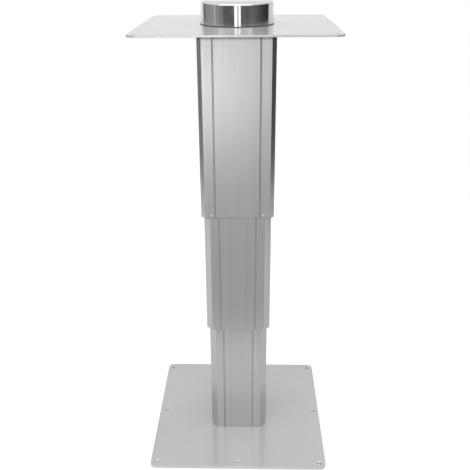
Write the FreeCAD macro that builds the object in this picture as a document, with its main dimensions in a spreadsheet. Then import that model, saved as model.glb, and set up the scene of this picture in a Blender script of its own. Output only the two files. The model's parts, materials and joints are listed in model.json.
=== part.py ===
import FreeCAD, Part
import Sketcher
import os

# Height adjustable table leg: a three-stage telescopic column of octagonal aluminium tubes between a
# floor plate and a table plate, raised and lowered by a lead screw inside a hollow screw spindle.
# Millimetres, +Z up, origin at the middle of the floor plate's underside, shown fully raised.

DRIVING_SIZES = [
    # Floor plate and table plate
    ("base_side", 300),
    ("base_thickness", 5),
    ("base_corner_radius", 10),
    ("top_side", 286),
    ("top_thickness", 3),
    ("top_corner_radius", 12),
    ("plate_edge_radius", 0.5),
    ("plate_hole_inset", 10.5),
    ("plate_hole_radius", 2.75),
    ("plate_sink_radius", 5),
    # How much of each inner tube stays inside the next one when the leg is fully raised
    ("middle_overlap", 58.5),
    ("upper_overlap", 66.5),
    # The three octagonal tubes
    ("lower_width", 98),
    ("lower_chamfer", 10.5),
    ("lower_wall", 3),
    ("lower_length", 268),
    ("lower_groove_place", 25),
    ("middle_width", 107),
    ("middle_chamfer", 10),
    ("middle_wall", 2.5),
    ("middle_length", 274),
    ("middle_groove_place", 29),
    ("upper_width", 115),
    ("upper_chamfer", 6.5),
    ("upper_wall", 2.5),
    ("upper_length", 286),
    ("upper_groove_place", 35),
    ("groove_mouth", 2.4),
    ("groove_floor", 1.2),
    ("groove_depth", 1.1),
    ("tube_end_radius", 2.2),
    # Screw ports that run along the inner corners of the lower tube
    ("port_inset", 5.4),
    ("port_radius", 5),
    ("port_bore", 2.6),
    # Clearances
    ("fit_clearance", 0.05),
    ("glide_clearance", 0.3),
    ("run_clearance", 0.05),
    ("axial_clearance", 0.1),
    ("key_clearance", 0.1),
    ("bush_clearance", 0.2),
    ("throat_clearance", 0.6),
    ("screw_tip_room", 1),
    ("cut_past", 1),
    # Guide collars, glide strips and wipers
    ("collar_height", 30),
    ("collar_flange", 1.5),
    ("strip_side_gap", 4),
    ("strip_height", 22),
    ("strip_lift", 4),
    ("stud_place", 40.5),
    ("stud_lift", 6),
    ("stud_radius", 1.3),
    ("stud_proud", 0.2),
    ("wiper_height", 3),
    ("wiper_proud", 0.8),
    # Nut post on the floor plate and its nut
    ("post_radius", 22),
    ("post_bore", 14),
    ("post_flange_radius", 34),
    ("post_flange", 6),
    ("post_height", 245),
    ("post_screw_circle", 28),
    ("base_nut_hub_radius", 16),
    ("base_nut_hub", 11),
    ("base_nut_flange", 5),
    ("base_nut_screw_circle", 19),
    ("base_nut_screw_depth", 9),
    # Head of the middle stage with its bearing
    ("head_thickness", 8),
    ("head_boss_radius", 23),
    ("head_boss_depth", 23.5),
    ("head_screw_reach", 12),
    ("spindle_bearing_outer", 18.5),
    ("spindle_bearing_width", 7),
    ("spindle_bearing_ring", 1.7),
    ("spindle_bearing_seat", 13.5),
    ("head_relief_radius", 15.5),
    ("head_relief_depth", 3),
    ("circlip_thickness", 1.5),
    ("circlip_bite", 0.8),
    ("circlip_band", 2.3),
    ("middle_nut_hub_radius", 11),
    ("middle_nut_hub", 9.5),
    ("middle_nut_flange_radius", 18),
    ("middle_nut_flange", 3),
    ("middle_nut_screw_circle", 14.5),
    # Hollow spindle and its key bush
    ("spindle_thread_radius", 12),
    ("spindle_journal_radius", 12.5),
    ("spindle_collar_radius", 15),
    ("spindle_collar", 4),
    ("spindle_bore", 8.5),
    ("spindle_top_gap", 1.5),
    ("bush_radius", 9.5),
    ("bush_height", 18),
    ("key_root_depth", 1),
    ("thread_overrun", 4),
    # Lead screw
    ("screw_thread_radius", 7),
    ("screw_collar_radius", 9.5),
    ("screw_collar", 2.5),
    ("screw_journal_radius", 8.5),
    ("screw_tail_radius", 6),
    ("screw_tail", 24.5),
    ("screw_overrun", 8),
    ("key_width", 2.8),
    ("key_tip_radius", 5.5),
    ("key_groove_end", 3),
    # Head of the upper stage with its bearing, gearbox and motor
    ("housing_thickness", 8),
    ("housing_screw_place", 20),
    ("housing_hub_radius", 25),
    ("housing_hub_rise", 3.5),
    ("screw_bearing_outer", 17.5),
    ("screw_bearing_width", 10),
    ("screw_bearing_ring", 2.5),
    ("bearing_shield_depth", 0.5),
    ("retainer_radius", 23),
    ("retainer_thickness", 1.5),
    ("retainer_screw_circle", 20.3),
    ("gearbox_flange_radius", 46),
    ("gearbox_flange", 5),
    ("gearbox_screw_circle", 38),
    ("plate_screw_circle", 38),
    ("gearbox_half_width", 17),
    ("gearbox_front", 18),
    ("gearbox_back", 30),
    ("gearbox_height", 32),
    ("gearbox_corner", 5),
    ("gearbox_cover", 2),
    ("worm_offset", 18),
    ("worm_height", 19),
    ("worm_boss_radius", 9.5),
    ("worm_boss_rise", 2),
    ("motor_radius", 13.5),
    ("motor_length", 22),
    ("motor_end_radius", 11.5),
    ("motor_end_length", 1.5),
    ("motor_boss_radius", 5.75),
    ("motor_boss_length", 3),
    # Mirror cap over the motor
    ("cap_radius", 54),
    ("cap_height", 33.5),
    ("cap_edge_radius", 6),
    ("cap_sheet", 1),
    ("seat_thickness", 1),
    ("seat_inner_radius", 50),
    ("seat_upstand", 3.5),
    ("seat_proud", 0.5),
    ("seat_groove_depth", 0.5),
    ("grommet_bore", 2.5),
    ("grommet_neck", 4),
    ("grommet_flange", 5.5),
    ("grommet_lip", 1.2),
    ("grommet_height", 9),
    # Countersunk and cap-head screws, as thread radius, head radius and head height
    ("m3_radius", 1.5),
    ("m3_head_radius", 2.8),
    ("m4_radius", 2),
    ("m4_head_radius", 3.8),
    ("m5_radius", 2.5),
    ("m5_head_radius", 4.7),
    ("m5_cap_head_radius", 4.25),
    ("m5_cap_head_height", 5),
    ("recess_share", 0.6),
    ("screw_sunk", 0.1),
    ("port_screw_length", 20),
]

doc = FreeCAD.newDocument("table_leg")
sheet = doc.addObject("Spreadsheet::Sheet", "Sizes")
for row, (alias, amount) in enumerate(DRIVING_SIZES, start=1):
    sheet.set("A%d" % row, alias)
    sheet.set("B%d" % row, str(amount))
    sheet.setAlias("B%d" % row, alias)
doc.recompute()

sub_parts = []
SAME_PLACE = 0.001


def cell(name):
    """The expression that reads one driving size."""
    return "Sizes." + name


def number(expression):
    """The present value of an expression, for first drafts of geometry and for picking edges."""
    value = sheet.evalExpression(expression)
    return float(getattr(value, "Value", value))


# Levels above the floor, each worked out from the driving sizes
MIDDLE_FOOT = "(Sizes.base_thickness + Sizes.lower_length - Sizes.middle_overlap)"
MIDDLE_TOP = "(%s + Sizes.middle_length)" % MIDDLE_FOOT
UPPER_FOOT = "(%s - Sizes.upper_overlap)" % MIDDLE_TOP
UPPER_TOP = "(%s + Sizes.upper_length)" % UPPER_FOOT
PLATE_TOP = "(%s + Sizes.top_thickness)" % UPPER_TOP
POST_TOP = "(Sizes.base_thickness + Sizes.post_height)"
SPINDLE_TOP = ("(%s - Sizes.spindle_bearing_seat + Sizes.head_relief_depth"
               " - Sizes.spindle_top_gap)" % MIDDLE_TOP)
SPINDLE_END = "(%s - Sizes.base_nut_hub - Sizes.thread_overrun)" % POST_TOP
SPINDLE_LENGTH = "(%s - %s)" % (SPINDLE_TOP, SPINDLE_END)
JOURNAL_LENGTH = ("(Sizes.spindle_bearing_width + Sizes.head_relief_depth - Sizes.spindle_top_gap"
                  " + Sizes.axial_clearance)")
HOUSING_FOOT = "(%s - Sizes.housing_thickness)" % UPPER_TOP
SCREW_END = "(%s - Sizes.bush_height - Sizes.screw_overrun)" % SPINDLE_TOP
SCREW_REACH = "(%s - %s)" % (HOUSING_FOOT, SCREW_END)

# Radius of the seat ring's rim, which stands a little past the cap all round
SEAT_RIM = "(Sizes.cap_radius + Sizes.seat_proud)"

# How far the lower tube's screw ports and the table plate's own screws lie from the middle, along X
# and along Y
PORT_PLACE = "((Sizes.lower_width - Sizes.lower_chamfer) / 2 - Sizes.port_inset / sqrt(2))"
PLATE_SCREW_PLACE = "(Sizes.plate_screw_circle / sqrt(2))"


def new_body(label, lift="0"):
    """A PartDesign body that carries one sub-part, placed at a height above the floor."""
    body = doc.addObject("PartDesign::Body", label)
    body.Label = label
    body.setExpression("Placement.Base.z", lift)
    sub_parts.append(body)
    return body


def new_sketch(body, name, role="XY_Plane", shift=("0", "0", "0")):
    """An empty sketch on one of the body's own origin planes, moved in that plane's frame."""
    sketch = body.newObject("Sketcher::SketchObject", name)
    support = [plane for plane in body.Origin.OriginFeatures if plane.Role == role][0]
    sketch.AttachmentSupport = (support, [""])
    sketch.MapMode = "FlatFace"
    for axis, expression in zip("xyz", shift):
        if expression != "0":
            sketch.setExpression("AttachmentOffset.Base." + axis, expression)
    return sketch


def add_polygon(sketch, points):
    """A closed outline whose corners are tied to the sketch origin by expressions."""
    corners = [FreeCAD.Vector(number(x), number(y), 0) for x, y in points]
    first = sketch.GeometryCount
    count = len(points)
    lines = [Part.LineSegment(corners[i], corners[(i + 1) % count]) for i in range(count)]
    sketch.addGeometry(lines, False)
    ties = []
    for i, (x, y) in enumerate(points):
        line = first + i
        following = first + (i + 1) % count
        sketch.addConstraint(Sketcher.Constraint("Coincident", line, 2, following, 1))
        for kind, expression, axis in (("DistanceX", x, -2), ("DistanceY", y, -1)):
            if expression == "0":
                sketch.addConstraint(Sketcher.Constraint("PointOnObject", line, 1, axis))
            else:
                tie = Sketcher.Constraint(kind, -1, 1, line, 1, number(expression))
                ties.append((sketch.addConstraint(tie), expression))
    for index, expression in ties:
        sketch.setExpression("Constraints[%d]" % index, expression)


def add_circle(sketch, radius, x="0", y="0"):
    """A circle with its centre and radius tied by expressions."""
    centre = FreeCAD.Vector(number(x), number(y), 0)
    ring = sketch.addGeometry(Part.Circle(centre, FreeCAD.Vector(0, 0, 1), number(radius)), False)
    index = sketch.addConstraint(Sketcher.Constraint("Radius", ring, number(radius)))
    sketch.setExpression("Constraints[%d]" % index, radius)
    for kind, expression, axis in (("DistanceX", x, -2), ("DistanceY", y, -1)):
        if expression == "0":
            sketch.addConstraint(Sketcher.Constraint("PointOnObject", ring, 3, axis))
        else:
            tie = Sketcher.Constraint(kind, -1, 1, ring, 3, number(expression))
            index = sketch.addConstraint(tie)
            sketch.setExpression("Constraints[%d]" % index, expression)


def pad(body, name, sketch, length, reverse=False):
    """A prism from a sketch, along its normal or against it."""
    feature = body.newObject("PartDesign::Pad", name)
    feature.Profile = sketch
    feature.setExpression("Length", length)
    feature.Reversed = reverse
    doc.recompute()
    return feature


def remove(body, kind, name, sketch):
    """A cutting feature of the given kind, not yet directed."""
    feature = body.newObject("PartDesign::" + kind, name)
    feature.Profile = sketch
    return feature


def proven(body, feature, before):
    """Recompute, and stop if a cut has taken nothing away."""
    doc.recompute()
    if feature.Shape.Volume >= before - 0.01:
        raise RuntimeError("%s in %s cuts nothing" % (feature.Name, body.Label))
    return feature


def pocket(body, name, sketch, length, reverse=False):
    """A prismatic cut, against the sketch's normal unless reversed."""
    before = body.Shape.Volume
    feature = remove(body, "Pocket", name, sketch)
    feature.setExpression("Length", length)
    feature.Reversed = reverse
    return proven(body, feature, before)


def cross_pocket(body, name, sketch):
    """A cut that runs right through the body on both sides of the sketch."""
    before = body.Shape.Volume
    feature = remove(body, "Pocket", name, sketch)
    feature.Type = "ThroughAll"
    feature.SideType = "Symmetric"
    return proven(body, feature, before)


def revolve(body, name, sketch, axis="V_Axis", angle=360):
    """A turned form about one of the sketch's own axes."""
    feature = body.newObject("PartDesign::Revolution", name)
    feature.Profile = sketch
    feature.ReferenceAxis = (sketch, [axis])
    feature.Angle = angle
    doc.recompute()
    return feature


def turned_cut(body, name, sketch, axis="V_Axis"):
    """A turned cut about one of the sketch's own axes."""
    before = body.Shape.Volume
    feature = remove(body, "Groove", name, sketch)
    feature.ReferenceAxis = (sketch, [axis])
    feature.Angle = 360
    return proven(body, feature, before)


def around(body, name, features, count, angle=360):
    """Copies of features about the body's upright axis."""
    pattern = body.newObject("PartDesign::PolarPattern", name)
    pattern.Originals = features
    upright = [line for line in body.Origin.OriginFeatures if line.Role == "Z_Axis"][0]
    pattern.Axis = (upright, [""])
    pattern.Angle = angle
    pattern.Occurrences = count
    body.Tip = pattern
    doc.recompute()
    return pattern


def fillet(body, name, radius, wanted):
    """A rounding of the edges of the body's tip that pass a test."""
    tip = body.Tip
    names = ["Edge%d" % (i + 1) for i, edge in enumerate(tip.Shape.Edges) if wanted(edge)]
    feature = body.newObject("PartDesign::Fillet", name)
    feature.Base = (tip, names)
    feature.setExpression("Radius", radius)
    doc.recompute()
    return feature


def less(expression):
    """The same amount on the other side of zero."""
    return "-(%s)" % expression


def is_upright(edge):
    """True for a straight edge that runs along Z."""
    box = edge.BoundBox
    return box.ZLength > SAME_PLACE > max(box.XLength, box.YLength)


def lies_at(level):
    """A test for edges or faces that lie in one level plane of the body."""
    return lambda form: max(level - form.BoundBox.ZMin, form.BoundBox.ZMax - level) < SAME_PLACE


def stage_octagon(stage, inset="0"):
    """The outline of one stage's tube, a square with cut corners, its sides moved inwards by an inset."""
    half = "(Sizes.%s_width / 2 - %s)" % (stage, inset)
    flat = "(%s - Sizes.%s_chamfer + (2 - sqrt(2)) * %s)" % (half, stage, inset)
    quarter = [(flat, less(half)), (half, less(flat))]
    points = list(quarter)
    for _ in range(3):
        quarter = [(less(y), x) for x, y in quarter]
        points += quarter
    return points


def rectangle(left, right, low, high):
    """Four corners between two upright and two level lines."""
    return [(left, low), (right, low), (right, high), (left, high)]


def sink_profile(head, hole, depth):
    """A countersunk hole as depth and radius pairs, from its mouth inwards."""
    return [("0", "0"), ("0", head), ("(%s - %s)" % (head, hole), hole), (depth, hole), (depth, "0")]


def screw_profile(size, length):
    """A countersunk screw with a round driver recess, as depth and radius pairs from its head."""
    head = cell(size + "_head_radius")
    thread = cell(size + "_radius")
    recess = "(%s * Sizes.recess_share)" % thread
    return [(recess, "0"), (recess, recess), ("0", recess), ("0", head),
            ("(%s - %s)" % (head, thread), thread), (length, thread), (length, "0")]


def head_room(size):
    """The radius of the mouth that a countersunk head of one size lies sunk in."""
    return "(Sizes.%s_head_radius + Sizes.screw_sunk + Sizes.fit_clearance)" % size


def shank_room(size):
    """The radius of a hole that a screw of one size fits."""
    return "(Sizes.%s_radius + Sizes.fit_clearance)" % size


def upright_profile(body, name, profile, place, face="0", up=True):
    """A sketch of depth and radius pairs beside an upright axis, going up or down from a face."""
    sketch = new_sketch(body, name, "XZ_Plane", (place[0], "0", place[1]))
    sign = "+" if up else "-"
    add_polygon(sketch, [(radius, "(%s %s %s)" % (face, sign, depth)) for depth, radius in profile])
    return sketch


def side_profile(body, name, plane, shift, face, profile):
    """A sketch of depth and radius pairs about a level axis, going in from a tube's side."""
    sketch = new_sketch(body, name, plane, shift)
    add_polygon(sketch, [("(%s + %s)" % (face, depth), radius) for depth, radius in profile])
    return sketch


def sinks(body, name, size, place, depth, count, face="0", up=True, circle_angle=360):
    """A ring of countersunk holes for screws of one size, cut upwards or downwards from a face."""
    profile = sink_profile(head_room(size), shank_room(size), depth)
    sketch = upright_profile(body, name + "_outline", profile, place, face, up)
    cut = turned_cut(body, name, sketch)
    return around(body, name + "_ring", [cut], count, circle_angle)


def holes(body, name, radius, place, length, count, lift="0"):
    """A ring of plain holes cut upwards from a level."""
    sketch = new_sketch(body, name + "_outline", shift=("0", "0", lift))
    add_circle(sketch, radius, place[0], place[1])
    cut = pocket(body, name, sketch, length, reverse=True)
    return around(body, name + "_ring", [cut], count)


def countersunk_screws(label, size, length, place, level, count, up=False):
    """A set of like countersunk screws, heads at a level, pointing up or down."""
    body = new_body(label, level)
    sketch = upright_profile(body, "screw_outline", screw_profile(size, length), place, up=up)
    screw = revolve(body, "screw", sketch)
    around(body, "screws", [screw], count)
    return body


def plate(label, level, side, thickness, corner):
    """A square plate with rounded corners and finely rounded edges."""
    body = new_body(label, level)
    half = "(%s / 2)" % side
    sketch = new_sketch(body, "outline")
    add_polygon(sketch, rectangle(less(half), half, less(half), half))
    pad(body, "sheet", sketch, thickness)
    fillet(body, "corners", corner, is_upright)
    fillet(body, "edge_rounding", cell("plate_edge_radius"), lambda edge: not is_upright(edge))
    return body


def fixing_holes(body, side, thickness, from_above):
    """Eight countersunk holes near the plate's edge, at its corners and at the middles of its sides."""
    reach = "(%s / 2 - Sizes.plate_hole_inset)" % side
    profile = sink_profile(cell("plate_sink_radius"), cell("plate_hole_radius"), thickness)
    face = thickness if from_above else "0"
    for name, place in (("corner", (reach, reach)), ("side", (reach, "0"))):
        sketch = upright_profile(body, name + "_hole_outline", profile, place, face, not from_above)
        cut = turned_cut(body, name + "_hole", sketch)
        around(body, name + "_holes", [cut], 4)


def make_base_plate():
    """Floor plate: eight holes for the floor screws, and sinks below for the tube and the nut post."""
    thickness = cell("base_thickness")
    body = plate("base_plate", "0", cell("base_side"), thickness, cell("base_corner_radius"))
    fixing_holes(body, cell("base_side"), thickness, from_above=True)
    sinks(body, "tube_screw_sink", "m5", (PORT_PLACE, PORT_PLACE), thickness, 4)
    sinks(body, "post_screw_sink", "m5", (cell("post_screw_circle"), "0"), thickness, 4)


def tube(stage, foot, round_foot):
    """One octagonal tube with two grooves down each side, as its extrusion die gives it."""
    body = new_body(stage + "_tube", foot)
    length = cell(stage + "_length")
    outline = new_sketch(body, "outline")
    add_polygon(outline, stage_octagon(stage))
    pad(body, "bar", outline, length)
    if round_foot:
        fillet(body, "foot_rounding", cell("tube_end_radius"), lies_at(0))
    bore = new_sketch(body, "bore_outline")
    add_polygon(bore, stage_octagon(stage, cell(stage + "_wall")))
    pocket(body, "bore", bore, length, reverse=True)
    grooves = new_sketch(body, "groove_outlines")
    face = less(cell(stage + "_width") + " / 2")
    floor = "(%s + Sizes.groove_depth)" % face
    for side in ("-", "+"):
        place = "(%s Sizes.%s_groove_place)" % (side, stage)
        section = [("(%s - Sizes.groove_mouth / 2)" % place, face),
                   ("(%s + Sizes.groove_mouth / 2)" % place, face),
                   ("(%s + Sizes.groove_floor / 2)" % place, floor),
                   ("(%s - Sizes.groove_floor / 2)" % place, floor)]
        add_polygon(grooves, section)
    front = pocket(body, "front_grooves", grooves, length, reverse=True)
    around(body, "grooves", [front], 4)
    return body


def make_lower_tube():
    """The narrowest tube, with round screw ports along its inner corners for the floor plate's screws."""
    body = tube("lower", cell("base_thickness"), round_foot=False)
    boss = new_sketch(body, "port_outline")
    add_circle(boss, cell("port_radius"), PORT_PLACE, PORT_PLACE)
    port = pad(body, "port", boss, cell("lower_length"))
    around(body, "ports", [port], 4)
    holes(body, "port_bore", cell("port_bore"), (PORT_PLACE, PORT_PLACE), cell("lower_length"), 4)


def make_middle_tube():
    """The middle tube, with a sunk screw hole near its top on each side for its head."""
    body = tube("middle", MIDDLE_FOOT, round_foot=True)
    shift = ("0", "(Sizes.middle_length - Sizes.head_thickness / 2)", "0")
    profile = sink_profile(head_room("m4"), shank_room("m4"), "(Sizes.middle_wall + Sizes.cut_past)")
    face = less("Sizes.middle_width / 2")
    sketch = side_profile(body, "head_sink_outline", "YZ_Plane", shift, face, profile)
    sink = turned_cut(body, "head_sink", sketch, "H_Axis")
    around(body, "head_sinks", [sink], 4)


def beside(level):
    """The shifts of two sketches on the XZ plane, in front of and behind the middle at one level."""
    return [(name, ("0", level, "(%s Sizes.housing_screw_place)" % side))
            for name, side in (("front", "+"), ("back", "-"))]


def make_upper_tube():
    """The widest tube, with two sunk screw holes at the left and the right near its top for its head,
    and eight holes for the glide studs."""
    body = tube("upper", UPPER_FOOT, round_foot=True)
    profile = sink_profile(head_room("m4"), shank_room("m4"), "(Sizes.upper_wall + Sizes.cut_past)")
    face = less("Sizes.upper_width / 2")
    cuts = []
    for name, shift in beside("(Sizes.upper_length - Sizes.housing_thickness / 2)"):
        sketch = side_profile(body, name + "_sink_outline", "XZ_Plane", shift, face, profile)
        cuts.append(turned_cut(body, name + "_sink", sketch, "H_Axis"))
    around(body, "head_sinks", cuts, 2)
    studs = new_sketch(body, "stud_hole_outlines", "XZ_Plane")
    for side in ("-", "+"):
        add_circle(studs, "(Sizes.stud_radius + Sizes.fit_clearance)",
                   "(%s Sizes.stud_place)" % side, cell("stud_lift"))
    cut = cross_pocket(body, "stud_holes", studs)
    around(body, "all_stud_holes", [cut], 2, angle=90)


def glide_face(stage):
    """The inset from a tube's own outline to the face that its fitted liners have against its wall."""
    return "(Sizes.%s_wall + Sizes.fit_clearance)" % stage


def wiper(outer, inner, foot):
    """A soft ring that closes the gap between two stages under the outer tube's foot."""
    body = new_body(outer + "_wiper", "(%s - Sizes.wiper_proud)" % foot)
    sketch = new_sketch(body, "outline")
    add_polygon(sketch, stage_octagon(outer, glide_face(outer)))
    add_polygon(sketch, stage_octagon(inner, "(-Sizes.glide_clearance)"))
    pad(body, "ring", sketch, "(Sizes.wiper_height + Sizes.wiper_proud)")


def glide_strips(outer, inner, foot, with_studs):
    """Four flat slide strips inside the outer tube's foot, one on each side."""
    body = new_body(outer + "_glide_strips", foot)
    sketch = new_sketch(body, "strip_outline", shift=("0", "0", cell("strip_lift")))
    back = "(Sizes.%s_width / 2 - %s)" % (outer, glide_face(outer))
    front = "(Sizes.%s_width / 2 + Sizes.glide_clearance)" % inner
    words = {"stage": outer}
    half = ("(Sizes.%(stage)s_width / 2 - Sizes.%(stage)s_chamfer"
            " - (sqrt(2) - 1) * Sizes.%(stage)s_wall - Sizes.strip_side_gap)" % words)
    add_polygon(sketch, rectangle(less(half), half, less(back), less(front)))
    pieces = [pad(body, "strip", sketch, cell("strip_height"))]
    if with_studs:
        studs = new_sketch(body, "stud_outlines", "XZ_Plane", ("0", "0", back))
        for side in ("-", "+"):
            add_circle(studs, cell("stud_radius"), "(%s Sizes.stud_place)" % side, cell("stud_lift"))
        reach = "(%s + Sizes.stud_proud)" % glide_face(outer)
        pieces.append(pad(body, "studs", studs, reach))
    around(body, "strips", pieces, 4)


def collar(inner, outer, foot):
    """A guide collar over the top end of a tube, with a flange on the tube's rim, which guides the next
    tube from inside."""
    level = "(%s + Sizes.%s_length - Sizes.collar_height)" % (foot, inner)
    body = new_body(inner + "_guide_collar", level)
    outline = stage_octagon(outer, "(Sizes.%s_wall + Sizes.glide_clearance)" % outer)
    skirt = new_sketch(body, "skirt_outline")
    add_polygon(skirt, outline)
    add_polygon(skirt, stage_octagon(inner, "(-Sizes.fit_clearance)"))
    pad(body, "skirt", skirt, cell("collar_height"))
    flange = new_sketch(body, "flange_outline", shift=("0", "0", cell("collar_height")))
    add_polygon(flange, outline)
    add_polygon(flange, stage_octagon(inner, cell(inner + "_wall")))
    pad(body, "flange", flange, cell("collar_flange"))


def make_nut_post():
    """The turned column that stands on the floor plate and holds the lower nut."""
    body = new_body("nut_post", cell("base_thickness"))
    height = cell("post_height")
    seat = "(Sizes.post_height - Sizes.base_nut_hub - Sizes.fit_clearance)"
    mouth = "(Sizes.base_nut_hub_radius + Sizes.fit_clearance)"
    sketch = new_sketch(body, "profile", "XZ_Plane")
    add_polygon(sketch, [(cell("post_bore"), "0"), (cell("post_flange_radius"), "0"),
                         (cell("post_flange_radius"), cell("post_flange")),
                         (cell("post_radius"), cell("post_flange")), (cell("post_radius"), height),
                         (mouth, height), (mouth, seat), (cell("post_bore"), seat)])
    revolve(body, "column", sketch)
    holes(body, "foot_hole", shank_room("m5"), (cell("post_screw_circle"), "0"), cell("post_flange"), 4)
    depth = cell("base_nut_screw_depth")
    holes(body, "nut_screw_hole", shank_room("m3"), (cell("base_nut_screw_circle"), "0"), depth, 3,
          "(Sizes.post_height - %s)" % depth)


def make_base_nut():
    """The flanged nut on the post, in which the hollow spindle turns."""
    body = new_body("base_nut", POST_TOP)
    bore = "(Sizes.spindle_thread_radius + Sizes.run_clearance)"
    sketch = new_sketch(body, "profile", "XZ_Plane")
    hub = less(cell("base_nut_hub"))
    add_polygon(sketch, [(bore, hub), (cell("base_nut_hub_radius"), hub),
                         (cell("base_nut_hub_radius"), "0"), (cell("post_radius"), "0"),
                         (cell("post_radius"), cell("base_nut_flange")), (bore, cell("base_nut_flange"))])
    revolve(body, "nut", sketch)
    flange = cell("base_nut_flange")
    sinks(body, "screw_sink", "m3", (cell("base_nut_screw_circle"), "0"), flange, 3, flange, up=False)


def make_middle_head():
    """The bearing head that closes the top of the middle tube: a plate with a stepped boss below."""
    body = new_body("middle_head", MIDDLE_TOP)
    outline = new_sketch(body, "plate_outline")
    add_polygon(outline, stage_octagon("middle", glide_face("middle")))
    pad(body, "head_plate", outline, cell("head_thickness"), reverse=True)
    boss = new_sketch(body, "boss_outline")
    add_circle(boss, cell("head_boss_radius"))
    pad(body, "boss", boss, cell("head_boss_depth"), reverse=True)
    nut_bore = "(Sizes.middle_nut_hub_radius + Sizes.fit_clearance)"
    race = "(Sizes.spindle_bearing_outer + Sizes.fit_clearance)"
    slot = "(Sizes.spindle_bearing_outer + Sizes.circlip_bite)"
    ledge = "(Sizes.spindle_bearing_seat - Sizes.head_relief_depth)"
    clip_top = "(Sizes.spindle_bearing_seat + Sizes.spindle_bearing_width)"
    clip_foot = "(%s + Sizes.circlip_thickness + Sizes.axial_clearance)" % clip_top
    steps = [("0", "0"), ("0", nut_bore), (ledge, nut_bore), (ledge, cell("head_relief_radius")),
             (cell("spindle_bearing_seat"), cell("head_relief_radius")),
             (cell("spindle_bearing_seat"), race), (clip_top, race), (clip_top, slot),
             (clip_foot, slot), (clip_foot, race), (cell("head_boss_depth"), race),
             (cell("head_boss_depth"), "0")]
    bore = upright_profile(body, "bore_profile", steps, ("0", "0"), up=False)
    turned_cut(body, "bore", bore)
    holes(body, "nut_screw_hole", shank_room("m3"), (cell("middle_nut_screw_circle"), "0"),
          cell("head_thickness"), 3, less(cell("head_thickness")))
    tapped = new_sketch(body, "side_hole_outline", "XZ_Plane",
                        ("0", "0", "(Sizes.middle_width / 2 - Sizes.head_screw_reach)"))
    add_circle(tapped, shank_room("m4"), "0", less("Sizes.head_thickness / 2"))
    cut = pocket(body, "side_hole", tapped, cell("head_screw_reach"), reverse=True)
    around(body, "side_holes", [cut], 4)


def make_middle_head_screws():
    """Four sunk screws that hold the head inside the middle tube, one on each side."""
    body = new_body("middle_head_screws", "(%s - Sizes.head_thickness / 2)" % MIDDLE_TOP)
    profile = screw_profile("m4", "(Sizes.head_screw_reach - Sizes.screw_tip_room)")
    face = "(-Sizes.middle_width / 2 + Sizes.screw_sunk)"
    sketch = side_profile(body, "screw_outline", "YZ_Plane", ("0", "0", "0"), face, profile)
    screw = revolve(body, "screw", sketch, "H_Axis")
    around(body, "screws", [screw], 4)


def make_middle_nut():
    """The flanged nut in the head, through which the lead screw passes."""
    body = new_body("middle_nut", MIDDLE_TOP)
    bore = "(Sizes.screw_thread_radius + Sizes.run_clearance)"
    hub = less(cell("middle_nut_hub"))
    flange = cell("middle_nut_flange")
    sketch = new_sketch(body, "profile", "XZ_Plane")
    add_polygon(sketch, [(bore, hub), (cell("middle_nut_hub_radius"), hub),
                         (cell("middle_nut_hub_radius"), "0"), (cell("middle_nut_flange_radius"), "0"),
                         (cell("middle_nut_flange_radius"), flange), (bore, flange)])
    revolve(body, "nut", sketch)
    sinks(body, "screw_sink", "m3", (cell("middle_nut_screw_circle"), "0"), flange, 3, flange, up=False)


def bearing(label, level, bore):
    """A sealed ball bearing: its two rings with a shield set back between them on each face."""
    body = new_body(label, level)
    outer = cell(label + "_outer")
    width = cell(label + "_width")
    inner_rim = "(%s + Sizes.%s_ring)" % (bore, label)
    outer_rim = "(%s - Sizes.%s_ring)" % (outer, label)
    low_shield = cell("bearing_shield_depth")
    high_shield = "(%s - %s)" % (width, low_shield)
    sketch = new_sketch(body, "profile", "XZ_Plane")
    add_polygon(sketch, [(bore, "0"), (inner_rim, "0"), (inner_rim, low_shield), (outer_rim, low_shield),
                         (outer_rim, "0"), (outer, "0"), (outer, width), (outer_rim, width),
                         (outer_rim, high_shield), (inner_rim, high_shield), (inner_rim, width),
                         (bore, width)])
    revolve(body, "rings", sketch)


def make_spindle_bearing():
    """The bearing that carries the hollow spindle in the middle head."""
    level = "(%s - Sizes.spindle_bearing_seat - Sizes.spindle_bearing_width)" % MIDDLE_TOP
    bore = "(Sizes.spindle_journal_radius + Sizes.run_clearance)"
    bearing("spindle_bearing", level, bore)


def make_bearing_circlip():
    """The open spring ring that keeps the spindle bearing in the head."""
    drop = "(Sizes.spindle_bearing_seat + Sizes.spindle_bearing_width + Sizes.circlip_thickness)"
    body = new_body("bearing_circlip", "(%s - %s - Sizes.axial_clearance / 2)" % (MIDDLE_TOP, drop))
    rim = "(Sizes.spindle_bearing_outer + Sizes.circlip_bite - Sizes.fit_clearance)"
    sketch = new_sketch(body, "profile", "XZ_Plane")
    add_polygon(sketch, rectangle("(%s - Sizes.circlip_band)" % rim, rim, "0", cell("circlip_thickness")))
    revolve(body, "ring", sketch, angle=330)


def make_hollow_spindle():
    """The hollow screw spindle: journal, collar and outer thread, with a seat inside for the key bush."""
    body = new_body("hollow_spindle", SPINDLE_TOP)
    journal = less(JOURNAL_LENGTH)
    under = "(%s - Sizes.spindle_collar)" % journal
    end = less(SPINDLE_LENGTH)
    seat = "(Sizes.bush_radius + Sizes.fit_clearance)"
    sketch = new_sketch(body, "profile", "XZ_Plane")
    add_polygon(sketch, [(seat, "0"), (cell("spindle_journal_radius"), "0"),
                         (cell("spindle_journal_radius"), journal), (cell("spindle_collar_radius"), journal),
                         (cell("spindle_collar_radius"), under), (cell("spindle_thread_radius"), under),
                         (cell("spindle_thread_radius"), end), (cell("spindle_bore"), end),
                         (cell("spindle_bore"), less(cell("bush_height"))),
                         (seat, less(cell("bush_height")))])
    revolve(body, "spindle", sketch)


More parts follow.
